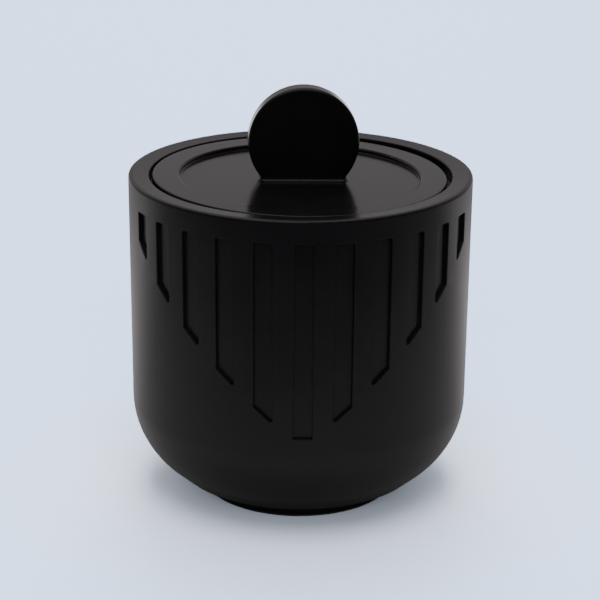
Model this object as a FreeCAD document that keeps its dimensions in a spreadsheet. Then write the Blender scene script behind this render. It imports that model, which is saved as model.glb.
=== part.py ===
"""Insulated ice bucket with a lift-off lid.

A double-walled bucket stands on a small round foot. Its outer wall has a V of recessed grooves at the
front and another at the back. The lid drops into the mouth, onto a step of the inner liner, and is
lifted by an upright disc.

Millimetres, +Z up. The origin is the centre of the foot's underside, and the front is towards -Y.
"""
import FreeCAD, Part
import math
import os
import re
import Sketcher

SIDE_GROOVES = 5                # on each side of the V's centre groove

doc = FreeCAD.newDocument("ice_bucket")

# ---------------------------------------------------------------- driving dimensions
SIZES = {
    # outer shell
    "rim_radius": 77.5,
    "rim_top": 149.85,
    "rim_round": 1.1,
    "shell_wall": 3.5,
    "shoulder_radius": 77.1,     # where the wall's line meets the cone's line
    "shoulder_height": 31.9,
    "shoulder_round": 40.0,
    "heel_radius": 66.9,         # where the cone's line meets the underside's line
    "heel_height": 18.4,
    "heel_round": 33.0,
    "heel_round_inside": 16.5,
    "base_radius": 56.6,         # lower edge of the shell
    "base_height": 9.3,
    "base_opening": 52.0,
    # grooves
    "groove_positions": 28,      # equal places round the wall, not all of them used
    "groove_width": 8.3,
    "groove_depth": 1.8,
    "groove_top": 139.9,
    "groove_corner": 0.8,
    "groove_edge_round": 0.5,
    "centre_groove_bottom": 51.9,
    "apex_height": 47.2,         # the two slanted lines of the V meet here
    "apex_slope": 0.873,         # rise of those lines per length along the wall
    # inner liner
    "flange_radius": 75.2,
    "flange_thick": 3.0,
    "mouth_radius": 68.2,
    "mouth_top": 149.45,         # the rim slopes down a little towards the mouth
    "lid_step_height": 144.0,
    "well_top_radius": 63.5,
    "well_floor_radius": 60.0,
    "well_floor": 20.0,
    "well_corner": 14.0,
    "liner_wall": 2.5,
    "liner_edge_round": 0.6,
    "liner_floor_thick": 3.0,
    "foam_gap": 0.4,
    # base and foot
    "cap_radius": 51.8,
    "cap_bottom": 8.8,
    "cap_top": 12.0,
    "foot_radius": 45.4,
    "foot_gap": 1.2,             # the silicone ring stands this far below the cap
    "foot_recess_radius": 38.8,
    "foot_recess_top": 5.0,
    "foot_ring_outer": 44.4,
    "foot_ring_inner": 41.2,
    "foot_ring_top": 3.2,
    "foot_edge_round": 0.4,
    "boss_circle": 28.0,
    "boss_radius": 4.5,
    "base_screw_count": 3,
    "base_screw_radius": 1.5,
    "base_screw_end": 15.0,
    "base_head_radius": 3.2,
    "base_head_thick": 2.2,
    "screw_clearance": 0.2,
    # lid
    "lid_top": 148.0,            # lid and handle heights are given for a lid that lies level
    "lid_radius": 66.3,
    "lid_edge_round": 0.7,
    "recess_radius": 54.2,
    "recess_depth": 2.0,
    "recess_round": 0.5,
    "recess_edge_round": 0.9,
    "lid_across": -0.4,          # the loose lid lies this far off centre in its seat,
    "lid_along": -0.2,
    "lid_turn": 2.4,             # is turned by this many degrees
    "lid_tilt": 0.72,            # and leans by this many, lower on its right side
    "lid_seat_gap": 0.1,         # between its low edge and the step
    "collar_outer": 60.2,
    "collar_inner": 58.4,
    "collar_bottom": 141.8,
    "plug_radius": 61.8,
    "plug_bottom": 131.0,
    "plug_floor": 2.0,
    "plug_round": 3.0,
    "gasket_seat_radius": 60.6,
    "gasket_seat_top": 141.2,
    "gasket_seat_bottom": 138.6,
    "gasket_radius": 62.5,
    "gasket_round": 0.8,
    # handle
    "handle_top": 188.4,
    "handle_radius": 24.85,
    "handle_thick": 10.4,
    "handle_round": 1.8,
    "handle_offset": 1.25,       # off the lid's centre
    "handle_sink": 1.0,          # the foot plate is let in this deep
    "handle_flare": 2.0,
    "neck_length": 38.4,
    "neck_height": 2.4,
    "neck_corner": 1.8,
    "plate_length": 42.8,
    "plate_width": 15.0,
    "plate_corner": 4.0,
    "handle_screw_reach": 9.0,   # half the distance between the two screws
    "handle_screw_radius": 1.6,
    "handle_screw_end": 156.0,
    "handle_head_radius": 3.6,
    "handle_head_thick": 2.2,
    "handle_hole_radius": 2.2,
    "washer_radius": 4.4,
    "washer_thick": 0.8,
    "pad_bottom": 142.3,         # thickened pad under the handle
    "pad_length": 44.0,
    "pad_width": 16.0,
}

sheet = doc.addObject("Spreadsheet::Sheet", "Sizes")
for row, (alias, number) in enumerate(SIZES.items(), start=1):
    sheet.set(f"A{row}", alias)
    sheet.set(f"B{row}", str(number))
    sheet.setAlias(f"B{row}", alias)
doc.recompute()


def cell(formula):
    """The formula with every alias written as a reference to the sheet."""
    def reference(word):
        return f"Sizes.{word[0]}" if word[0] in SIZES else word[0]

    return re.sub(r"[a-z]\w*", reference, formula)


def value(formula):
    """The number that a formula of sheet aliases gives now."""
    return float(sheet.evalExpression(cell(formula)))


# ---------------------------------------------------------------- helpers
def new_body(name):
    body = doc.addObject("PartDesign::Body", name)
    body.Label = name
    return body


def origin_part(body, role):
    return next(part for part in body.Origin.OriginFeatures if part.Role == role)


def new_sketch(body, name, plane="XZ_Plane", offset=None):
    sketch = body.newObject("Sketcher::SketchObject", name)
    sketch.AttachmentSupport = [(origin_part(body, plane), "")]
    sketch.MapMode = "FlatFace"
    if offset is not None:
        sketch.AttachmentOffset = offset
    return sketch


def bind(sketch, constraint, formula):
    """Add a dimension and tie it to the sheet."""
    index = sketch.addConstraint(constraint)
    sketch.setExpression(f"Constraints[{index}]", cell(formula))


def locate(sketch, geometry, place, across, up):
    """Hold one point of the sketch at (across, up), both formulas of the sheet."""
    bind(sketch, Sketcher.Constraint("DistanceX", -1, 1, geometry, place, value(across)), across)
    bind(sketch, Sketcher.Constraint("DistanceY", -1, 1, geometry, place, value(up)), up)


def corner_arc(before, corner, after, radius):
    """Tangent points, centre and angles of the arc that rounds a corner."""
    back = (before - corner).normalize()
    ahead = (after - corner).normalize()
    half = back.getAngle(ahead) / 2
    reach = radius / math.tan(half)
    centre = corner + (back + ahead).normalize() * (radius / math.sin(half))
    return corner + back * reach, corner + ahead * reach, centre


def add_arc(sketch, start, end, centre, radius):
    """Add the shorter arc from start to end. Returns its index and which end is which."""
    angles = [math.atan2(point.y - centre.y, point.x - centre.x) for point in (start, end)]
    turn = (angles[1] - angles[0]) % (2 * math.pi)
    forward = turn < math.pi
    first, last = angles if forward else reversed(angles)
    circle = Part.Circle(centre, FreeCAD.Vector(0, 0, 1), radius)
    index = sketch.addGeometry(Part.ArcOfCircle(circle, first, last), False)
    return (index, 1, 2) if forward else (index, 2, 1)


def outline(sketch, corners):
    """Draw a closed outline. Each corner is (across, up) or (across, up, rounding), all formulas."""
    points = [FreeCAD.Vector(value(corner[0]), value(corner[1]), 0) for corner in corners]
    count = len(corners)
    starts = []
    ends = []
    arcs = {}
    for i, corner in enumerate(corners):
        point = points[i]
        starts.append(point)
        ends.append(point)
        if len(corner) == 3:
            radius = value(corner[2])
            into, out_of, centre = corner_arc(points[i - 1], point, points[(i + 1) % count], radius)
            starts[i] = out_of
            ends[i] = into
            arcs[i] = (into, out_of, centre, radius)
    lines = []
    for i in range(count):
        segment = Part.LineSegment(starts[i], ends[(i + 1) % count])
        lines.append(sketch.addGeometry(segment, False))
    for i, corner in enumerate(corners):
        before = lines[i - 1]
        after = lines[i]
        if i in arcs:
            into, out_of, centre, radius = arcs[i]
            arc, entry, leave = add_arc(sketch, into, out_of, centre, radius)
            sketch.addConstraint(Sketcher.Constraint("Tangent", before, 2, arc, entry))
            sketch.addConstraint(Sketcher.Constraint("Tangent", arc, leave, after, 1))
            bind(sketch, Sketcher.Constraint("Radius", arc, radius), corner[2])
            mark = sketch.addGeometry(Part.Point(points[i]), True)
            locate(sketch, mark, 1, corner[0], corner[1])
            sketch.addConstraint(Sketcher.Constraint("PointOnObject", mark, 1, before))
            sketch.addConstraint(Sketcher.Constraint("PointOnObject", mark, 1, after))
        else:
            sketch.addConstraint(Sketcher.Constraint("Coincident", before, 2, after, 1))
            locate(sketch, after, 1, corner[0], corner[1])


def circles(sketch, places, radius):
    """Add circles of one radius, each centred at (across, up)."""
    for across, up in places:
        centre = FreeCAD.Vector(value(across), value(up), 0)
        circle = Part.Circle(centre, FreeCAD.Vector(0, 0, 1), value(radius))
        index = sketch.addGeometry(circle, False)
        bind(sketch, Sketcher.Constraint("Radius", index, value(radius)), radius)
        locate(sketch, index, 3, across, up)


def block_outline(sketch, length, width, corner):
    """A rectangle with rounded corners, centred on the sketch's origin."""
    half_length = f"{length} / 2"
    half_width = f"{width} / 2"
    outline(sketch, [
        (f"0 - {half_length}", f"0 - {half_width}", corner),
        (half_length, f"0 - {half_width}", corner),
        (half_length, half_width, corner),
        (f"0 - {half_length}", half_width, corner),
    ])


def revolve(body, name, corners):
    """A full turn of an outline of (radius, height) corners about the body's Z axis."""
    sketch = new_sketch(body, f"{name}_section")
    outline(sketch, corners)
    feature = body.newObject("PartDesign::Revolution", name)
    feature.Profile = sketch
    feature.ReferenceAxis = (sketch, ["V_Axis"])
    feature.Angle = 360
    return feature


def level(height):
    """Offset that lifts a sketch on the XY plane to a height."""
    return FreeCAD.Placement(FreeCAD.Vector(0, 0, value(height)), FreeCAD.Rotation())


def level_sketch(body, name, height):
    sketch = new_sketch(body, name, "XY_Plane", level(height))
    sketch.setExpression(".AttachmentOffset.Base.z", cell(height))
    return sketch


def extrude(body, kind, name, sketch, length, downwards=False):
    """A Pad or Pocket of the sketch, as long as the formula says."""
    feature = body.newObject(f"PartDesign::{kind}", name)
    feature.Profile = sketch
    feature.setExpression("Length", cell(length))
    feature.Reversed = downwards if kind == "Pad" else not downwards
    return feature


def add_fillet(body, name, base, edges, radius):
    feature = body.newObject("PartDesign::Fillet", name)
    feature.Base = (base, edges)
    feature.setExpression("Radius", cell(radius))
    return feature


def turn_pattern(body, name, originals, count):
    """Copies of the features, equally spaced round the Z axis."""
    pattern = body.newObject("PartDesign::PolarPattern", name)
    pattern.Originals = originals
    pattern.Axis = (origin_part(body, "Z_Axis"), [""])
    pattern.Angle = 360
    pattern.setExpression("Occurrences", cell(count))
    return pattern


# ---------------------------------------------------------------- bucket
CONE = "atan((shoulder_radius - heel_radius) / (shoulder_height - heel_height))"
BELLY = "atan((heel_radius - base_radius) / (heel_height - base_height))"


def shell_outline():
    """Section of the outer shell, from the rim's outer edge down and back up the inside."""
    middle = f"(({BELLY} + {CONE}) / 2)"
    heel_step = f"shell_wall / cos(({BELLY} - {CONE}) / 2)"
    return [
        ("rim_radius", "rim_top", "rim_round"),
        ("shoulder_radius", "shoulder_height", "shoulder_round"),
        ("heel_radius", "heel_height", "heel_round"),
        ("base_radius", "base_height"),
        ("base_opening", "base_height"),
        ("base_opening", "base_height + shell_wall"),
        (f"heel_radius - {heel_step} * cos{middle}", f"heel_height + {heel_step} * sin{middle}",
         "heel_round_inside"),
        ("shoulder_radius - shell_wall", f"shoulder_height + shell_wall * tan({CONE} / 2)",
         "shoulder_round - shell_wall"),
        ("rim_radius - shell_wall", "rim_top - flange_thick"),
        ("flange_radius", "rim_top - flange_thick"),
        ("flange_radius", "rim_top"),
    ]


def groove_plane(step):
    """Attachment that lays a sketch on the drafted wall, a number of groove places from the front."""
    height = value("shoulder_height")
    radius = value("shoulder_radius")
    draft = math.atan((value("rim_radius") - radius) / (value("rim_top") - height))
    turn = FreeCAD.Rotation(FreeCAD.Vector(0, 1, 0), step * 360 / value("groove_positions"))
    tilt = FreeCAD.Rotation(FreeCAD.Vector(1, 0, 0), math.degrees(draft))
    centre = turn.multVec(FreeCAD.Vector(0, height, radius))
    return FreeCAD.Placement(centre, turn.multiply(tilt))


def groove(body, step):
    """One groove of the V, a number of places to the right of its centre."""
    sketch = new_sketch(body, f"groove_{step}_outline", "XZ_Plane", groove_plane(step))
    arc = f"{step} * 2 * 3.14159265 * rim_radius / groove_positions"
    middle = f"apex_height + apex_slope * {arc} - shoulder_height"
    low = f"{middle} - apex_slope * groove_width / 2"
    high = f"{middle} + apex_slope * groove_width / 2"
    if step == 0:
        low = high = "centre_groove_bottom - shoulder_height"
    top = "groove_top - shoulder_height"
    outline(sketch, [
        ("0 - groove_width / 2", low, "groove_corner"),
        ("groove_width / 2", high, "groove_corner"),
        ("groove_width / 2", top, "groove_corner"),
        ("0 - groove_width / 2", top, "groove_corner"),
    ])
    pocket = body.newObject("PartDesign::Pocket", f"groove_{step}")
    pocket.Profile = sketch
    pocket.setExpression("Length", cell("groove_depth"))
    return pocket


def repeat(body, name, originals, mirrored):
    """Repeat grooves to the left of the V, if mirrored, and at the back."""
    half_turn = body.newObject("PartDesign::PolarPattern", f"{name}_back")
    half_turn.Axis = (origin_part(body, "Z_Axis"), [""])
    half_turn.Angle = 360
    half_turn.Occurrences = 2
    if not mirrored:
        half_turn.Originals = originals
        return half_turn
    left = body.newObject("PartDesign::Mirrored", f"{name}_left")
    left.MirrorPlane = (origin_part(body, "YZ_Plane"), [""])
    both = body.newObject("PartDesign::MultiTransform", name)
    both.Originals = originals
    both.Transformations = [left, half_turn]
    return both


def mouths(feature):
    """Edge names of the groove mouths: the inner wires of the shell's outer wall."""
    wall = max(feature.Shape.Faces, key=lambda face: len(face.Wires))
    rims = [wire for wire in wall.Wires if not wire.isSame(wall.OuterWire)]
    wanted = [edge for wire in rims for edge in wire.Edges]
    numbered = list(enumerate(feature.Shape.Edges, start=1))
    return [f"Edge{number}" for number, edge in numbered if any(edge.isSame(other) for other in wanted)]


def make_outer_shell():
    """Outer wall with the grooves, down to the opening that the base cap closes."""
    body = new_body("outer_shell")
    revolve(body, "shell_wall_turn", shell_outline())
    doc.recompute()
    centre_groove = groove(body, 0)
    body.Tip = repeat(body, "centre_grooves", [centre_groove], False)
    doc.recompute()
    side_grooves = [groove(body, step) for step in range(1, SIDE_GROOVES + 1)]
    all_grooves = repeat(body, "side_grooves", side_grooves, True)
    body.Tip = all_grooves
    doc.recompute()
    body.Tip = add_fillet(body, "groove_mouths", all_grooves, mouths(all_grooves), "groove_edge_round")
    return body


def make_inner_liner():
    """Flange, lid seat and ice well in one, with three screw bosses under the well's floor."""
    body = new_body("inner_liner")
    revolve(body, "liner_turn", [
        ("flange_radius", "rim_top"),
        ("mouth_radius", "mouth_top", "liner_edge_round"),
        ("mouth_radius", "lid_step_height", "liner_edge_round"),
        ("well_top_radius", "lid_step_height", "liner_edge_round"),
        ("well_floor_radius", "well_floor", "well_corner"),
        ("0", "well_floor"),
        ("0", "well_floor - liner_floor_thick"),
        ("well_floor_radius + liner_wall", "well_floor - liner_floor_thick", "well_corner + liner_wall"),
        ("well_top_radius + liner_wall", "lid_step_height - liner_wall"),
        ("mouth_radius + liner_wall", "lid_step_height - liner_wall", "liner_edge_round"),
        ("mouth_radius + liner_wall", "rim_top - flange_thick"),
        ("flange_radius", "rim_top - flange_thick"),
    ])
    doc.recompute()
    boss_sketch = level_sketch(body, "boss_outline", "cap_top")
    circles(boss_sketch, [("boss_circle", "0")], "boss_radius")
    boss = extrude(body, "Pad", "boss", boss_sketch, "well_floor - liner_floor_thick - cap_top")
    doc.recompute()
    hole_sketch = level_sketch(body, "boss_hole_outline", "cap_top")
    circles(hole_sketch, [("boss_circle", "0")], "base_screw_radius")
    hole = extrude(body, "Pocket", "boss_hole", hole_sketch, "base_screw_end + 1 - cap_top", downwards=False)
    doc.recompute()
    body.Tip = turn_pattern(body, "bosses", [boss, hole], "base_screw_count")
    return body


def make_body_foam():
    """Insulation that fills the double wall, a small gap short of the shell, the liner and the base."""
    middle = f"(({BELLY} + {CONE}) / 2)"
    wall = "(shell_wall + foam_gap)"
    heel_step = f"{wall} / cos(({BELLY} - {CONE}) / 2)"
    underside = "well_floor - liner_floor_thick - foam_gap"
    top = "lid_step_height - liner_wall - foam_gap"
    body = new_body("body_foam")
    revolve(body, "foam_turn", [
        (f"rim_radius - {wall}", top),
        (f"shoulder_radius - {wall}", f"shoulder_height + {wall} * tan({CONE} / 2)",
         f"shoulder_round - {wall}"),
        (f"heel_radius - {heel_step} * cos{middle}", f"heel_height + {heel_step} * sin{middle}",
         "heel_round_inside"),
        ("cap_radius", "base_height + shell_wall + foam_gap"),
        ("0", "base_height + shell_wall + foam_gap"),
        ("0", underside),
        ("well_floor_radius + liner_wall + foam_gap", underside, "well_corner + liner_wall + foam_gap"),
        ("well_top_radius + liner_wall + foam_gap", top),
    ])
    doc.recompute()
    clearance = level_sketch(body, "boss_clearance_outline", "base_height")
    circles(clearance, [("boss_circle", "0")], "boss_radius + foam_gap")
    pocket = extrude(body, "Pocket", "boss_clearance", clearance, "well_floor - base_height", downwards=False)
    doc.recompute()
    body.Tip = turn_pattern(body, "boss_clearances", [pocket], "base_screw_count")
    return body


def make_base_cap():
    """Cap that closes the double wall and stands down as the foot."""
    body = new_body("base_cap")
    revolve(body, "cap_turn", [
        ("0", "cap_top"),
        ("cap_radius", "cap_top"),
        ("cap_radius", "cap_bottom"),
        ("foot_radius", "cap_bottom"),
        ("foot_radius", "foot_gap", "foot_edge_round"),
        ("foot_ring_outer", "foot_gap"),
        ("foot_ring_outer", "foot_ring_top"),
        ("foot_ring_inner", "foot_ring_top"),
        ("foot_ring_inner", "foot_gap"),
        ("foot_recess_radius", "foot_gap"),
        ("foot_recess_radius", "foot_recess_top", "foot_edge_round"),
        ("0", "foot_recess_top"),
    ])
    doc.recompute()
    hole_sketch = level_sketch(body, "screw_hole_outline", "0")
    circles(hole_sketch, [("boss_circle", "0")], "base_screw_radius + screw_clearance")
    hole = extrude(body, "Pocket", "screw_hole", hole_sketch, "rim_top", downwards=False)
    doc.recompute()
    body.Tip = turn_pattern(body, "screw_holes", [hole], "base_screw_count")
    return body


def make_foot_ring():
    """Silicone ring let into the foot."""
    body = new_body("foot_ring")
    revolve(body, "ring_turn", [
        ("foot_ring_outer", "0", "foot_edge_round"),
        ("foot_ring_outer", "foot_ring_top"),
        ("foot_ring_inner", "foot_ring_top"),
        ("foot_ring_inner", "0", "foot_edge_round"),
    ])
    return body


# ---------------------------------------------------------------- screws
def cylinder(name, radius, low, high, across="0", along="0"):
    """An upright Part cylinder between two heights."""
    shape = doc.addObject("Part::Cylinder", name)
    shape.setExpression("Radius", cell(radius))
    shape.setExpression("Height", cell(f"({high}) - ({low})"))
    shape.setExpression(".Placement.Base.x", cell(across))
    shape.setExpression(".Placement.Base.y", cell(along))
    shape.setExpression(".Placement.Base.z", cell(low))
    return shape


def screw(name, across, along, heights, radii):
    """A pan-head screw that points up. heights: head, seat and tip; radii: head and shank."""
    low, seat, tip = heights
    head_radius, shank_radius = radii
    head = cylinder(f"{name}_head", head_radius, low, seat, across, along)
    shank = cylinder(f"{name}_shank", shank_radius, seat, tip, across, along)
    whole = doc.addObject("Part::Fuse", f"{name}_blank")
    whole.Base = head
    whole.Tool = shank
    socket = doc.addObject("Part::Prism", f"{name}_socket")
    socket.Polygon = 6
    socket.setExpression("Circumradius", cell(f"{head_radius} / 2"))
    socket.setExpression("Height", cell(f"(({seat}) - ({low})) / 2"))
    socket.setExpression(".Placement.Base.x", cell(across))
    socket.setExpression(".Placement.Base.y", cell(along))
    socket.setExpression(".Placement.Base.z", cell(low))
    finished = doc.addObject("Part::Cut", name)
    finished.Base = whole
    finished.Tool = socket
    return finished


def group(name, members):
    """Identical loose pieces as one sub-part."""
    compound = doc.addObject("Part::Compound", name)
    compound.Label = name
    compound.Links = members
    return compound


def make_base_screws():
    members = []
    for number in range(int(value("base_screw_count"))):
        turn = f"{number} * 360 / base_screw_count"
        heights = ("foot_recess_top - base_head_thick", "foot_recess_top", "base_screw_end")
        members.append(screw(f"base_screw_{number + 1}", f"boss_circle * cos({turn})",
                             f"boss_circle * sin({turn})", heights,
                             ("base_head_radius", "base_screw_radius")))
    return group("base_screws", members)


# ---------------------------------------------------------------- lid
LID_FLOOR = "(lid_top - recess_depth)"
NECK_CUT = "lid_top - recess_depth + neck_height / 2"


def shift(sketch):
    """Move a sketch of the handle's fixings to the handle's own place on the lid."""
    sketch.setExpression(".AttachmentOffset.Base.x", cell("handle_offset"))


def screw_places():
    """Where the two handle screws are, from the handle's middle."""
    return [("0 - handle_screw_reach", "0"), ("handle_screw_reach", "0")]


def make_lid_cover():
    """Lid top: a flat ring round a shallow recess, with a collar that locates the under-plate."""
    body = new_body("lid_cover")
    revolve(body, "cover_turn", [
        ("0", LID_FLOOR),
        ("recess_radius", LID_FLOOR, "recess_round"),
        ("recess_radius", "lid_top", "recess_edge_round"),
        ("lid_radius", "lid_top", "lid_edge_round"),
        ("lid_radius", "lid_step_height", "lid_edge_round"),
        ("collar_outer", "lid_step_height"),
        ("collar_outer", "collar_bottom"),
        ("collar_inner", "collar_bottom"),
        ("collar_inner", "lid_step_height"),
        ("0", "lid_step_height"),
    ])
    doc.recompute()
    pad_sketch = level_sketch(body, "pad_outline", "pad_bottom")
    block_outline(pad_sketch, "pad_length", "pad_width", "plate_corner")
    shift(pad_sketch)
    extrude(body, "Pad", "pad", pad_sketch, "lid_step_height - pad_bottom")
    doc.recompute()
    seat_sketch = level_sketch(body, "handle_seat_outline", LID_FLOOR)
    block_outline(seat_sketch, "plate_length", "plate_width", "plate_corner")
    shift(seat_sketch)
    extrude(body, "Pocket", "handle_seat", seat_sketch, "handle_sink", downwards=True)
    doc.recompute()
    hole_sketch = level_sketch(body, "handle_hole_outline", "pad_bottom")
    circles(hole_sketch, screw_places(), "handle_hole_radius")
    shift(hole_sketch)
    extrude(body, "Pocket", "handle_holes", hole_sketch, "lid_top - pad_bottom", downwards=False)
    return body


def disc_outline(sketch):
    """Upright circle, cut off level inside the neck."""
    middle = value("handle_top - handle_radius")
    cut = value(NECK_CUT)
    half_chord = math.sqrt(value("handle_radius") ** 2 - (middle - cut) ** 2)
    left = FreeCAD.Vector(-half_chord, cut, 0)
    right = FreeCAD.Vector(half_chord, cut, 0)
    top = FreeCAD.Vector(0, value("handle_top"), 0)
    arc = sketch.addGeometry(Part.Arc(right, top, left), False)
    chord = sketch.addGeometry(Part.LineSegment(left, right), False)
    sketch.addConstraint(Sketcher.Constraint("Coincident", arc, 2, chord, 1))
    sketch.addConstraint(Sketcher.Constraint("Coincident", chord, 2, arc, 1))
    sketch.addConstraint(Sketcher.Constraint("Horizontal", chord))
    bind(sketch, Sketcher.Constraint("Radius", arc, value("handle_radius")), "handle_radius")
    locate(sketch, arc, 3, "0", "handle_top - handle_radius")
    bind(sketch, Sketcher.Constraint("DistanceY", -1, 1, chord, 1, cut), NECK_CUT)


def level_edges(feature, height, half_length, half_width):
    """Names of the feature's edges that lie at a height within a half length and width of its axis."""
    names = []
    for number, edge in enumerate(feature.Shape.Edges, start=1):
        points = edge.discretize(5)
        at_height = all(abs(point.z - height) < 0.001 for point in points)
        inside = all(abs(point.x) < half_length and abs(point.y) < half_width for point in points)
        if at_height and inside:
            names.append(f"Edge{number}")
    return names


def make_lid_handle():
    """Upright disc on a short neck that flares into a foot plate, which is let into the lid."""
    body = new_body("lid_handle")
    disc_sketch = new_sketch(body, "disc_outline")
    disc_outline(disc_sketch)
    disc = body.newObject("PartDesign::Pad", "disc")
    disc.Profile = disc_sketch
    disc.Midplane = True
    disc.setExpression("Length", cell("handle_thick"))
    doc.recompute()
    numbered = enumerate(disc.Shape.Edges, start=1)
    rims = [f"Edge{number}" for number, edge in numbered if isinstance(edge.Curve, Part.Circle)]
    add_fillet(body, "disc_rims", disc, rims, "handle_round")
    doc.recompute()
    neck_sketch = level_sketch(body, "neck_outline", LID_FLOOR)
    block_outline(neck_sketch, "neck_length", "handle_thick", "neck_corner")
    extrude(body, "Pad", "neck", neck_sketch, "neck_height")
    doc.recompute()
    plate_sketch = level_sketch(body, "plate_outline", f"{LID_FLOOR} - handle_sink")
    block_outline(plate_sketch, "plate_length", "plate_width", "plate_corner")
    plate = extrude(body, "Pad", "plate", plate_sketch, "handle_sink")
    doc.recompute()
    inside = (value("plate_length") / 2 - 1, value("plate_width") / 2 - 1)
    flare = add_fillet(body, "flare", plate, level_edges(plate, value(LID_FLOOR), *inside), "handle_flare")
    doc.recompute()
    hole_sketch = level_sketch(body, "screw_hole_outline", f"{LID_FLOOR} - handle_sink")
    circles(hole_sketch, screw_places(), "handle_screw_radius")
    extrude(body, "Pocket", "screw_holes", hole_sketch, f"handle_screw_end + 1 - ({LID_FLOOR})",
            downwards=False)
    return body


def make_handle_screws():
    seat = "pad_bottom - washer_thick"
    heights = (f"{seat} - handle_head_thick", seat, "handle_screw_end")
    members = []
    for number, (across, along) in enumerate(screw_places(), start=1):
        members.append(screw(f"handle_screw_{number}", f"handle_offset + ({across})", along, heights,
                             ("handle_head_radius", "handle_screw_radius")))
    return group("handle_screws", members)


def make_handle_washers():
    low = "pad_bottom - washer_thick"
    members = []
    for number, (across, along) in enumerate(screw_places(), start=1):
        place = f"handle_offset + ({across})"
        blank = cylinder(f"washer_{number}_blank", "washer_radius", low, "pad_bottom", place, along)
        hole = cylinder(f"washer_{number}_hole", "handle_screw_radius + screw_clearance", f"{low} - 1",
                        "pad_bottom + 1", place, along)
        washer = doc.addObject("Part::Cut", f"washer_{number}")
        washer.Base = blank
        washer.Tool = hole
        members.append(washer)
    return group("handle_washers", members)


def make_lid_base():
    """Under-plate: a shallow cup that hangs in the well, with a groove round it for the gasket."""
    body = new_body("lid_base")
    revolve(body, "cup_turn", [
        ("plug_radius", "lid_step_height"),
        ("plug_radius", "gasket_seat_top"),
        ("gasket_seat_radius", "gasket_seat_top"),
        ("gasket_seat_radius", "gasket_seat_bottom"),
        ("plug_radius", "gasket_seat_bottom"),
        ("plug_radius", "plug_bottom", "plug_round"),
        ("0", "plug_bottom"),
        ("0", "plug_bottom + plug_floor"),
        ("collar_inner", "plug_bottom + plug_floor", "liner_edge_round"),
        ("collar_inner", "collar_bottom"),
        ("collar_outer", "collar_bottom"),
        ("collar_outer", "lid_step_height"),
    ])
    return body


def make_lid_foam():
    """Insulation inside the lid, hollowed where the handle's pad and screw heads hang down."""
    body = new_body("lid_foam")
    revolve(body, "lid_foam_turn", [
        ("0", "plug_bottom + plug_floor + foam_gap"),
        ("collar_inner - foam_gap", "plug_bottom + plug_floor + foam_gap"),
        ("collar_inner - foam_gap", "lid_step_height - foam_gap"),
        ("0", "lid_step_height - foam_gap"),
    ])
    doc.recompute()
    hollow_sketch = level_sketch(body, "hollow_outline", "lid_step_height")
    block_outline(hollow_sketch, "pad_length + 4", "pad_width + 4", "plate_corner")
    shift(hollow_sketch)
    extrude(body, "Pocket", "hollow", hollow_sketch,
            "lid_step_height - pad_bottom + washer_thick + handle_head_thick + 1", downwards=True)
    return body


def make_lid_gasket():
    """Silicone ring in the under-plate's groove."""
    body = new_body("lid_gasket")
    revolve(body, "gasket_turn", [
        ("gasket_seat_radius", "gasket_seat_bottom"),
        ("gasket_radius", "gasket_seat_bottom", "gasket_round"),
        ("gasket_radius", "gasket_seat_top", "gasket_round"),
        ("gasket_seat_radius", "gasket_seat_top"),
    ])
    return body


# ---------------------------------------------------------------- assembly
def lid_placement(across="0"):
    """Where the loose lid lies in its seat. A piece can be moved across the lid first."""
    lift = value("(lid_radius - lid_edge_round) * sin(lid_tilt * 1deg) + lid_seat_gap")
    place = FreeCAD.Vector(value("lid_across"), value("lid_along"), lift)
    lean = FreeCAD.Rotation(FreeCAD.Vector(0, 1, 0), value("lid_tilt"))
    turn = FreeCAD.Rotation(FreeCAD.Vector(0, 0, 1), value("lid_turn"))
    step = FreeCAD.Vector(0, 0, value("lid_step_height"))
    seat = FreeCAD.Placement(place, lean.multiply(turn), step)
    return seat.multiply(FreeCAD.Placement(FreeCAD.Vector(value(across), 0, 0), FreeCAD.Rotation()))


bucket = [make_outer_shell(), make_inner_liner(), make_body_foam(), make_base_cap(), make_foot_ring(),
          make_base_screws()]
lid = [make_lid_cover(), make_lid_handle(), make_handle_screws(), make_handle_washers(), make_lid_base(),
       make_lid_foam(), make_lid_gasket()]
for piece in lid:
    piece.Placement = lid_placement("handle_offset" if piece.Label == "lid_handle" else "0")
doc.recompute()

# ---------------------------------------------------------------- checks and export
for item in doc.Objects:
    if "Invalid" in item.State or "Error" in item.State:
        raise RuntimeError(f"{item.Name} did not compute: {item.State}")
for piece in bucket + lid:
    if piece.Shape.isNull() or not piece.Shape.isValid():
        raise RuntimeError(f"{piece.Label} has no valid shape")

os.makedirs("parts", exist_ok=True)
for piece in bucket + lid:
    piece.Shape.exportStep(f"parts/{piece.Label}.step")
    print(piece.Label, len(piece.Shape.Solids), "solids", round(piece.Shape.Volume), "mm3")
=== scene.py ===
"""Looks for the ice bucket: satin black moulded plastic, in a plain pale studio.

Metres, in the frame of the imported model: +Z up, origin under the foot, front towards -Y.
"""
import math
import bpy
from mathutils import Matrix, Vector

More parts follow.
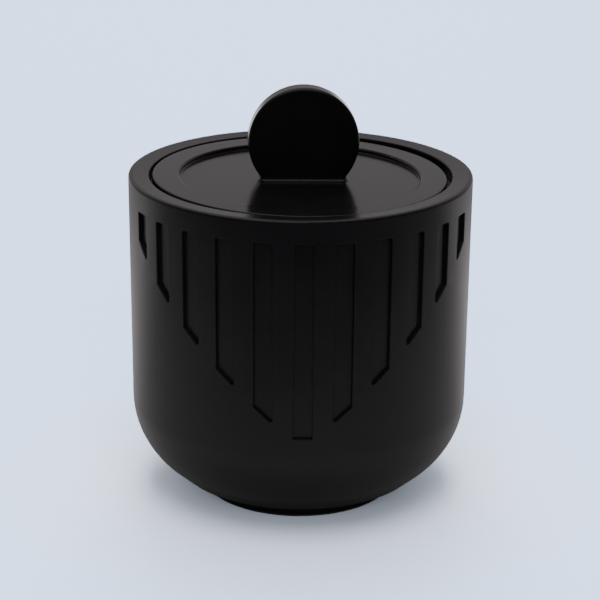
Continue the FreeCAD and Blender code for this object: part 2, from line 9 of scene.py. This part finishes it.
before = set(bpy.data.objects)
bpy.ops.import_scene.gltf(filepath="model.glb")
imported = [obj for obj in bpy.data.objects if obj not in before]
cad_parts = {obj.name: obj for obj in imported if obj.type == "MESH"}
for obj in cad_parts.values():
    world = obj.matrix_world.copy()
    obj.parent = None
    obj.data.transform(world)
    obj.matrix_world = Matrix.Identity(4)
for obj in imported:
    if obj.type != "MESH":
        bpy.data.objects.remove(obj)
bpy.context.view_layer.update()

# ---------------------------------------------------------------- camera
CAMERA_LENS = 119.0             # mm, on the sensor below
CAMERA_SENSOR = 36.0
CAMERA_DISTANCE = 0.9131        # from the aim point
CAMERA_ELEVATION = 19.31        # degrees above the aim point
CAMERA_TURN = 1.38              # degrees to the left of the front
CAMERA_ROLL = 0.51              # degrees, clockwise
AIM_HEIGHT = 0.0886
AIM_SIDE = 0.0002


def add_camera():
    turn = math.radians(CAMERA_TURN)
    rise = math.radians(CAMERA_ELEVATION)
    roll = math.radians(CAMERA_ROLL)
    ahead = Vector((math.sin(turn) * math.cos(rise), math.cos(turn) * math.cos(rise), -math.sin(rise)))
    right = ahead.cross(Vector((0, 0, 1))).normalized()
    up = right.cross(ahead)
    rolled_right = right * math.cos(roll) + up * math.sin(roll)
    rolled_up = up * math.cos(roll) - right * math.sin(roll)
    place = Vector((AIM_SIDE, 0, AIM_HEIGHT)) - ahead * CAMERA_DISTANCE
    data = bpy.data.cameras.new("camera")
    data.lens = CAMERA_LENS
    data.sensor_width = CAMERA_SENSOR
    camera = bpy.data.objects.new("camera", data)
    bpy.context.scene.collection.objects.link(camera)
    camera.matrix_world = Matrix((
        (rolled_right.x, rolled_up.x, -ahead.x, place.x),
        (rolled_right.y, rolled_up.y, -ahead.y, place.y),
        (rolled_right.z, rolled_up.z, -ahead.z, place.z),
        (0, 0, 0, 1),
    ))
    bpy.context.scene.camera = camera


# ---------------------------------------------------------------- node trees
class Nodes:
    """A short way to write a node tree, of a material or of the world."""

    def __init__(self, owner):
        self.owner = owner
        owner.use_nodes = True
        self.tree = owner.node_tree
        self.tree.nodes.clear()

    def add(self, kind, inputs=None, **settings):
        node = self.tree.nodes.new("ShaderNode" + kind)
        for key, setting in settings.items():
            setattr(node, key, setting)
        for key, source in (inputs or {}).items():
            self.feed(node.inputs[key], source)
        return node

    def feed(self, socket, source):
        if isinstance(source, bpy.types.NodeSocket):
            self.tree.links.new(source, socket)
        else:
            socket.default_value = source

    def place(self):
        """Position on the object, in metres."""
        return self.add("TexCoord").outputs["Object"]

    def noise(self, scale, detail=2.0, roughness=0.5, stretch=(1, 1, 1)):
        """Noise with about this many features to the metre."""
        place = self.add("Mapping", {"Vector": self.place(), "Scale": stretch}).outputs["Vector"]
        inputs = {"Vector": place, "Scale": scale, "Detail": detail, "Roughness": roughness}
        return self.add("TexNoise", inputs).outputs["Fac"]

    def spread(self, source, low, high, first=0.3, last=0.7, smooth=False):
        """Source from first to last, where most of a noise lies, mapped to low..high."""
        inputs = {"Value": source, "From Min": first, "From Max": last, "To Min": low, "To Max": high}
        interpolation = "SMOOTHSTEP" if smooth else "LINEAR"
        return self.add("MapRange", inputs, interpolation_type=interpolation).outputs["Result"]

    def mix(self, factor, first, second, kind):
        """Mix of two colours (kind RGBA) or two directions (kind VECTOR)."""
        node = self.add("Mix", {"Factor": factor}, data_type=kind)
        inputs = [socket for socket in node.inputs if socket.type == kind]
        self.feed(inputs[-2], first)
        self.feed(inputs[-1], second)
        return next(socket for socket in node.outputs if socket.type == kind)

    def blend(self, factor, first, second):
        return self.mix(factor, first, second, "RGBA")

    def math(self, operation, first, second):
        return self.add("Math", {0: first, 1: second}, operation=operation).outputs[0]

    def vector(self, operation, first, second=(0, 0, 0)):
        return self.add("VectorMath", {0: first, 1: second}, operation=operation).outputs["Vector"]

    def length(self, vector):
        return self.add("VectorMath", {0: vector}, operation="LENGTH").outputs["Value"]

    def bump(self, height, distance, normal=None):
        inputs = {"Height": height, "Distance": distance, "Strength": 1.0}
        if normal is not None:
            inputs["Normal"] = normal
        return self.add("Bump", inputs).outputs["Normal"]

    def output(self, surface, kind="OutputMaterial"):
        self.add(kind, {"Surface": surface})
        return self.owner

    def principled(self, **inputs):
        named = {key.replace("_", " "): source for key, source in inputs.items()}
        return self.output(self.add("BsdfPrincipled", named).outputs["BSDF"])


def new_material(name):
    return Nodes(bpy.data.materials.new(name))


# ---------------------------------------------------------------- materials
PLASTIC_DARK = (0.0015, 0.0013, 0.0013, 1)
PLASTIC_PALE = (0.0026, 0.0023, 0.0023, 1)
PLASTIC_WEAR_AND_GLINT = (0.012, 0.011, 0.011, 1)     # on the rubbed edges, paler there also as a painted highlight along them
PLASTIC_IOR = 1.36              # a thin matt skin, so less than solid plastic's
EDGE_SOFTNESS = 0.0005          # width of the rubbed edges and their painted highlight
WEAR_AND_GLINT_FROM = 0.97                # cosine between the face and its softened normal, where wear and painted highlight start
WEAR_AND_GLINT_FULL = 0.75                # and where it is complete
HANDLING_SCALE = 28             # features to the metre: faint handling marks
SPECKLE_SCALE = 900             # fine changes of gloss
GRAIN_SCALE = 2600              # moulded grain
HANDLING_ROUGHNESS = 0.02
SPECKLE_ROUGHNESS = 0.008

# roughness, and depth of the moulded grain in metres
SHELL_FINISH = (0.31, 0.000002)
RIM_FINISH = (0.22, 0.000004)
LID_FINISH = (0.17, 0.000003)
HANDLE_FINISH = (0.18, 0.000003)
MATTE_FINISH = (0.5, 0.00001)

SILICONE_DARK = (0.010, 0.010, 0.010, 1)
SILICONE_DUSTY = (0.024, 0.023, 0.022, 1)
SILICONE_ROUGHNESS = (0.62, 0.8)
SILICONE_IOR = 1.41
DUST_SCALE = 420
SKIN_SCALE = 1800
SKIN_DEPTH = 0.00003

STEEL_DARK = (0.46, 0.46, 0.47, 1)
STEEL_PALE = (0.60, 0.60, 0.61, 1)
STEEL_ROUGHNESS = (0.24, 0.4)
BRUSH_SCALE = 900
BRUSH_STRETCH = (1, 1, 0.08)    # long marks along the screws
BRUSH_DEPTH = 0.00001

FOAM_DARK = (0.62, 0.60, 0.52, 1)
FOAM_PALE = (0.80, 0.78, 0.70, 1)
FOAM_ROUGHNESS = 0.85
CELL_SCALE = 900
CELL_DEPTH = 0.0002

# The shell's section: (radius, height, rounding) of its corners.
RIM_RADIUS = 0.0775
RIM_TOP = 0.14985
RIM_ROUND = 0.0011
SHOULDER = (0.0771, 0.0319, 0.040)
HEEL = (0.0669, 0.0184, 0.033)
SHELL_FOOT = (0.0566, 0.0093)
GROOVE_LOW = 0.047              # the grooves lie between these heights
GROOVE_HIGH = 0.1405
FACET_DEPTH = 0.00004           # deeper than this under the wall's cone, a groove's edge begins
EDGE_DEPTH = 0.0001             # and here it is all groove


def shell_normal(nodes):
    """Exact normal of the shell's turned face, where the mesh has only facets; the mesh's in the grooves."""
    place = nodes.add("SeparateXYZ", {"Vector": nodes.place()}).outputs
    height = place["Z"]
    flat = nodes.add("CombineXYZ", {"X": place["X"], "Y": place["Y"]}).outputs["Vector"]
    outward = nodes.vector("NORMALIZE", flat)
    radius = nodes.length(flat)

    lean = math.atan2(RIM_RADIUS - SHOULDER[0], RIM_TOP - SHOULDER[1])
    cone = math.atan2(SHOULDER[0] - HEEL[0], SHOULDER[1] - HEEL[1])
    belly = math.atan2(HEEL[0] - SHELL_FOOT[0], HEEL[1] - SHELL_FOOT[1])
    # The normal's rise changes evenly with height along an arc.
    rise = nodes.spread(height, -math.sin(lean), 1.0 - math.sin(lean), RIM_TOP - RIM_ROUND, RIM_TOP)
    for corner, above, below in ((SHOULDER, lean, cone), (HEEL, cone, belly)):
        reach = corner[2] * math.tan((below - above) / 2)
        top = corner[1] + reach * math.cos(above)
        bottom = corner[1] - reach * math.cos(below)
        turned = nodes.spread(height, 0.0, math.sin(above) - math.sin(below), top, bottom)
        rise = nodes.math("ADD", rise, turned)
    level = nodes.math("SQRT", nodes.math("SUBTRACT", 1.0, nodes.math("MULTIPLY", rise, rise)), 0.0)
    sideways = nodes.add("VectorMath", {0: outward, "Scale": level}, operation="SCALE").outputs["Vector"]
    upright = nodes.add("CombineXYZ", {"Z": rise}).outputs["Vector"]
    turned_face = nodes.vector("ADD", sideways, upright)

    wall = nodes.spread(height, SHOULDER[0], RIM_RADIUS, SHOULDER[1], RIM_TOP)
    on_wall = nodes.spread(nodes.math("SUBTRACT", wall, radius), 1.0, 0.0, FACET_DEPTH, EDGE_DEPTH)
    clear_of_grooves = nodes.math("ADD", nodes.math("LESS_THAN", height, GROOVE_LOW),
                                  nodes.math("GREATER_THAN", height, GROOVE_HIGH))
    outside = nodes.math("GREATER_THAN", radius, SHELL_FOOT[0])
    share = nodes.math("MULTIPLY", nodes.math("MAXIMUM", on_wall, clear_of_grooves), outside)
    return nodes.mix(share, nodes.add("NewGeometry").outputs["Normal"], turned_face, "VECTOR")


def black_plastic(name, finish, turned=False):
    """Satin black moulded plastic: fine moulded grain, faint handling marks, edges rubbed a little paler,
    which also paints a highlight along them.
    """
    roughness, grain = finish
    nodes = new_material(name)
    handling = nodes.noise(HANDLING_SCALE, 4.0, 0.55)
    speckle = nodes.noise(SPECKLE_SCALE, 3.0, 0.6)
    softened = nodes.add("Bevel", {"Radius": EDGE_SOFTNESS}, samples=6).outputs["Normal"]
    sharp = nodes.add("NewGeometry").outputs["Normal"]
    facing = nodes.add("VectorMath", {0: softened, 1: sharp}, operation="DOT_PRODUCT").outputs["Value"]
    # wear and painted highlight: edges paler where the softened normal turns away from the face
    wear_and_glint = nodes.spread(facing, 1.0, 0.0, WEAR_AND_GLINT_FULL, WEAR_AND_GLINT_FROM)
    plastic = nodes.blend(nodes.spread(handling, 0.0, 1.0), PLASTIC_DARK, PLASTIC_PALE)
    patchy_wear_and_glint = nodes.math("MULTIPLY", wear_and_glint, nodes.spread(speckle, 0.0, 1.0))
    colour = nodes.blend(patchy_wear_and_glint, plastic, PLASTIC_WEAR_AND_GLINT)
    rough = nodes.math("ADD",
                       nodes.spread(handling, roughness - HANDLING_ROUGHNESS, roughness + HANDLING_ROUGHNESS),
                       nodes.spread(speckle, -SPECKLE_ROUGHNESS, SPECKLE_ROUGHNESS))
    face = shell_normal(nodes) if turned else None
    normal = nodes.bump(nodes.noise(GRAIN_SCALE), grain, face)
    return nodes.principled(Base_Color=colour, Roughness=rough, IOR=PLASTIC_IOR, Normal=normal)


def silicone():
    nodes = new_material("silicone")
    dust = nodes.noise(DUST_SCALE, 4.0, 0.65)
    colour = nodes.blend(nodes.spread(dust, 0.0, 1.0, 0.45, 0.75), SILICONE_DARK, SILICONE_DUSTY)
    rough = nodes.spread(dust, *SILICONE_ROUGHNESS)
    normal = nodes.bump(nodes.noise(SKIN_SCALE), SKIN_DEPTH)
    return nodes.principled(Base_Color=colour, Roughness=rough, IOR=SILICONE_IOR, Normal=normal)


def steel():
    nodes = new_material("screw_steel")
    brushed = nodes.noise(BRUSH_SCALE, 3.0, 0.6, BRUSH_STRETCH)
    colour = nodes.blend(nodes.spread(brushed, 0.0, 1.0), STEEL_DARK, STEEL_PALE)
    rough = nodes.spread(brushed, *STEEL_ROUGHNESS)
    normal = nodes.bump(brushed, BRUSH_DEPTH)
    return nodes.principled(Base_Color=colour, Metallic=1.0, Roughness=rough, Normal=normal)


def foam():
    nodes = new_material("foam")
    cells = nodes.add("TexVoronoi", {"Vector": nodes.place(), "Scale": CELL_SCALE}).outputs["Distance"]
    colour = nodes.blend(nodes.spread(cells, 0.0, 1.0, 0.1, 0.8), FOAM_DARK, FOAM_PALE)
    normal = nodes.bump(cells, CELL_DEPTH)
    return nodes.principled(Base_Color=colour, Roughness=FOAM_ROUGHNESS, Normal=normal)


def dress_bucket():
    shell = black_plastic("shell_plastic", SHELL_FINISH, turned=True)
    rim = black_plastic("rim_plastic", RIM_FINISH)
    lid = black_plastic("lid_plastic", LID_FINISH)
    handle = black_plastic("handle_plastic", HANDLE_FINISH)
    matte = black_plastic("base_plastic", MATTE_FINISH)
    rubber = silicone()
    metal = steel()
    insulation = foam()
    looks = {
        "outer_shell": shell, "inner_liner": rim, "lid_cover": lid, "lid_handle": handle,
        "lid_base": matte, "base_cap": matte, "foot_ring": rubber, "lid_gasket": rubber,
        "base_screws": metal, "handle_screws": metal, "handle_washers": metal,
        "body_foam": insulation, "lid_foam": insulation,
    }
    for name, material in looks.items():
        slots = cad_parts[name].data.materials
        slots.clear()
        slots.append(material)


# ---------------------------------------------------------------- table
ROOM_TINT = (1.0, 0.955, 0.965, 1)

FLOOR_HALF = 40.0
FLOOR_COLOUR = (0.47, 0.62, 0.92, 1)
FLOOR_SHADE_GREY = (0.59, 0.65, 0.77, 1)          # painted shade: greyer round the foot, giving the contact shadow there its grey tint
FLOOR_NEAR_RADIUS = 0.06        # grey up to here, and gone by the next
FLOOR_FAR_RADIUS = 0.16
FLOOR_WHITE = (1, 1, 1, 1)
FLOOR_SHADE = (0.985, 0.985, 0.985, 1)      # the paper's darker patches, as a share of its colour
PAPER_SCALE = 60
PAPER_ROUGHNESS = 0.9

# Painted light: a glowing disc stands for the lit table as the bucket's gloss sees it, with a painted shadow
# dark at the foot, bright round it, darker further off.
GLOW_HEIGHT = 0.0004            # just above the floor
GLOW_RADIUS = 0.9
GLOW_FADE = 0.7                 # from here to its edge the disc fades out
GLOW_STEPS = 96
GLOW_RINGS = 24
GLOW_STRENGTH = 0.60
GLOW_WIDTH = 1.8                # the bright part in front is this much wider than it is deep
GLOW_FOOT_SHADOW = (0.045, 0.12)       # painted shadow: from dark to bright, outwards from the axis
GLOW_FRONT = (0.17, 0.50)       # from bright to dark, in front and at the sides
GLOW_BACK = (0.05, 0.22)        # from the front's level to the back's, along Y
GLOW_BEHIND = 1.7               # how much brighter it is behind the bucket than in front
GLOW_BEYOND = 0.45              # how much of that is left further back
GLOW_FAR_BACK = (0.21, 0.46)    # where it falls to that, along Y


def new_piece(name, points, faces, material):
    mesh = bpy.data.meshes.new(name)
    mesh.from_pydata(points, [], faces)
    mesh.materials.append(material)
    piece = bpy.data.objects.new(name, mesh)
    bpy.context.scene.collection.objects.link(piece)
    return piece


def add_floor():
    nodes = new_material("floor_paper")
    distance = nodes.length(nodes.place())
    # painted shade: the floor's colour turns greyer round the foot
    shade_grey = nodes.spread(distance, 0.0, 1.0, FLOOR_NEAR_RADIUS, FLOOR_FAR_RADIUS)
    sheet = nodes.blend(shade_grey, FLOOR_SHADE_GREY, FLOOR_COLOUR)
    patches = nodes.blend(nodes.spread(nodes.noise(PAPER_SCALE, 3.0), 0.0, 1.0), FLOOR_WHITE, FLOOR_SHADE)
    colour = nodes.vector("MULTIPLY", sheet, patches)
    paper = nodes.principled(Base_Color=colour, Roughness=PAPER_ROUGHNESS, Specular_IOR_Level=0.0)
    half = FLOOR_HALF
    corners = [(-half, -half, 0), (half, -half, 0), (half, half, 0), (-half, half, 0)]
    floor = new_piece("floor", corners, [(0, 1, 2, 3)], paper)
    floor.visible_glossy = False


def glow_material():
    nodes = new_material("table_glow")
    place = nodes.place()
    distance = nodes.length(place)
    depth = nodes.length(nodes.vector("MULTIPLY", place, (1 / GLOW_WIDTH, 1, 1)))
    along = nodes.add("SeparateXYZ", {"Vector": place}).outputs["Y"]
    # painted shadow: the glow is dark at the foot
    foot = nodes.spread(distance, 0.0, 1.0, *GLOW_FOOT_SHADOW)
    front = nodes.spread(depth, 1.0, 0.0, *GLOW_FRONT)
    behind = nodes.spread(along, 0.0, 1.0, *GLOW_BACK)
    beyond = nodes.spread(along, 1.0, GLOW_BEYOND, *GLOW_FAR_BACK)
    level = nodes.math("ADD", nodes.math("MULTIPLY", front, nodes.math("SUBTRACT", 1.0, behind)),
                       nodes.math("MULTIPLY", behind, nodes.math("MULTIPLY", beyond, GLOW_BEHIND)))
    strength = nodes.math("MULTIPLY", nodes.math("MULTIPLY", foot, level), GLOW_STRENGTH)
    light = nodes.add("Emission", {"Color": ROOM_TINT, "Strength": strength}).outputs["Emission"]
    clear = nodes.add("BsdfTransparent").outputs["BSDF"]
    shown = nodes.spread(distance, 1.0, 0.0, GLOW_FADE, GLOW_RADIUS)
    return nodes.output(nodes.add("MixShader", {"Fac": shown, 1: clear, 2: light}).outputs["Shader"])


def add_glow():
    """A glowing disc of painted light for the lit table round the bucket, with a painted shadow at the foot,
    seen only in its gloss.
    """
    points = [(0, 0, GLOW_HEIGHT)]
    for ring in range(GLOW_RINGS):
        radius = GLOW_RADIUS * (ring + 1) / GLOW_RINGS
        for step in range(GLOW_STEPS):
            angle = 2 * math.pi * step / GLOW_STEPS
            points.append((radius * math.sin(angle), -radius * math.cos(angle), GLOW_HEIGHT))
    faces = [(0, 1 + step, 1 + (step + 1) % GLOW_STEPS) for step in range(GLOW_STEPS)]
    for ring in range(GLOW_RINGS - 1):
        first = 1 + ring * GLOW_STEPS
        for step in range(GLOW_STEPS):
            after = (step + 1) % GLOW_STEPS
            faces.append((first + step, first + GLOW_STEPS + step, first + GLOW_STEPS + after, first + after))
    glow = new_piece("table_glow", points, faces, glow_material())
    glow.visible_camera = False
    glow.visible_diffuse = False
    glow.visible_shadow = False
    glow.visible_transmission = False


# ---------------------------------------------------------------- room and lights
# What the gloss sees of the room: strengths above and below the horizon.
BACK_ABOVE = 0.43
FRONT_ABOVE = 0.0
OVERHEAD = 1.0
BACK_BELOW = 1.5
SIDE_BELOW = 0.4
FRONT_BELOW = 0.0
UNDERFOOT = 0.1                 # straight down, as a share of the strengths below

# Where one strength gives way to the next: parts of the direction's Y (back) or Z (rise).
ABOVE_TO_BACK = (-0.5, 0.9)
TO_OVERHEAD = (0.72, 0.94)
BELOW_TO_SIDE = (-0.45, 0.35)
BELOW_TO_BACK = (0.55, 1.0)
FROM_UNDERFOOT = (-0.95, -0.5)
HORIZON = (-0.06, 0.06)

AIM_AT_TABLE = (0, 0, 0)
AIM_AT_BUCKET = (0, 0, 0.05)
SIDE_BOX = (3.5, 1.8)

# name, place, aim, size, power in watts
LIGHTS = (
    ("top_box", (0, 0.12, 2.6), AIM_AT_TABLE, (1.2, 5.0), 235),
    ("left_box", (-2.6, 0.0, 1.2), AIM_AT_BUCKET, SIDE_BOX, 15),
    ("right_box", (2.6, 0.0, 1.2), AIM_AT_BUCKET, SIDE_BOX, 9),
    ("back_box", (0, 2.8, 1.2), AIM_AT_BUCKET, SIDE_BOX, 75),
    ("front_box", (0, -2.8, 1.3), AIM_AT_BUCKET, SIDE_BOX, 110),
)


def add_light(name, place, aim, size, power):
    """A soft box that lights the table evenly, without showing in the gloss."""
    data = bpy.data.lights.new(name, "AREA")
    data.shape = "RECTANGLE"
    data.size, data.size_y = size
    data.energy = power
    light = bpy.data.objects.new(name, data)
    bpy.context.scene.collection.objects.link(light)
    light.location = place
    direction = Vector(aim) - Vector(place)
    light.rotation_euler = direction.to_track_quat("-Z", "Y").to_euler()
    light.visible_glossy = False


def add_world():
    """A room that is pale behind the bucket and overhead, and dark in front of it."""
    world = bpy.data.worlds.new("room")
    bpy.context.scene.world = world
    nodes = Nodes(world)
    direction = nodes.add("TexCoord").outputs["Generated"]
    parts = nodes.add("SeparateXYZ", {"Vector": direction}).outputs

    def ramp(part, between, low, high):
        return nodes.spread(parts[part], low, high, *between, smooth=True)

    above = nodes.math("ADD", ramp("Y", ABOVE_TO_BACK, FRONT_ABOVE, BACK_ABOVE),
                       ramp("Z", TO_OVERHEAD, 0.0, OVERHEAD))
    around = nodes.math("ADD", ramp("Y", BELOW_TO_SIDE, FRONT_BELOW, SIDE_BELOW),
                        ramp("Y", BELOW_TO_BACK, 0.0, BACK_BELOW - SIDE_BELOW))
    below = nodes.math("MULTIPLY", around, ramp("Z", FROM_UNDERFOOT, UNDERFOOT, 1.0))
    upper = nodes.math("MULTIPLY", above, ramp("Z", HORIZON, 0.0, 1.0))
    lower = nodes.math("MULTIPLY", below, ramp("Z", HORIZON, 1.0, 0.0))
    strength = nodes.math("ADD", upper, lower)
    background = nodes.add("Background", {"Color": ROOM_TINT, "Strength": strength})
    nodes.output(background.outputs["Background"], "OutputWorld")


add_camera()
dress_bucket()
add_floor()
add_glow()
add_world()
for light in LIGHTS:
    add_light(*light)
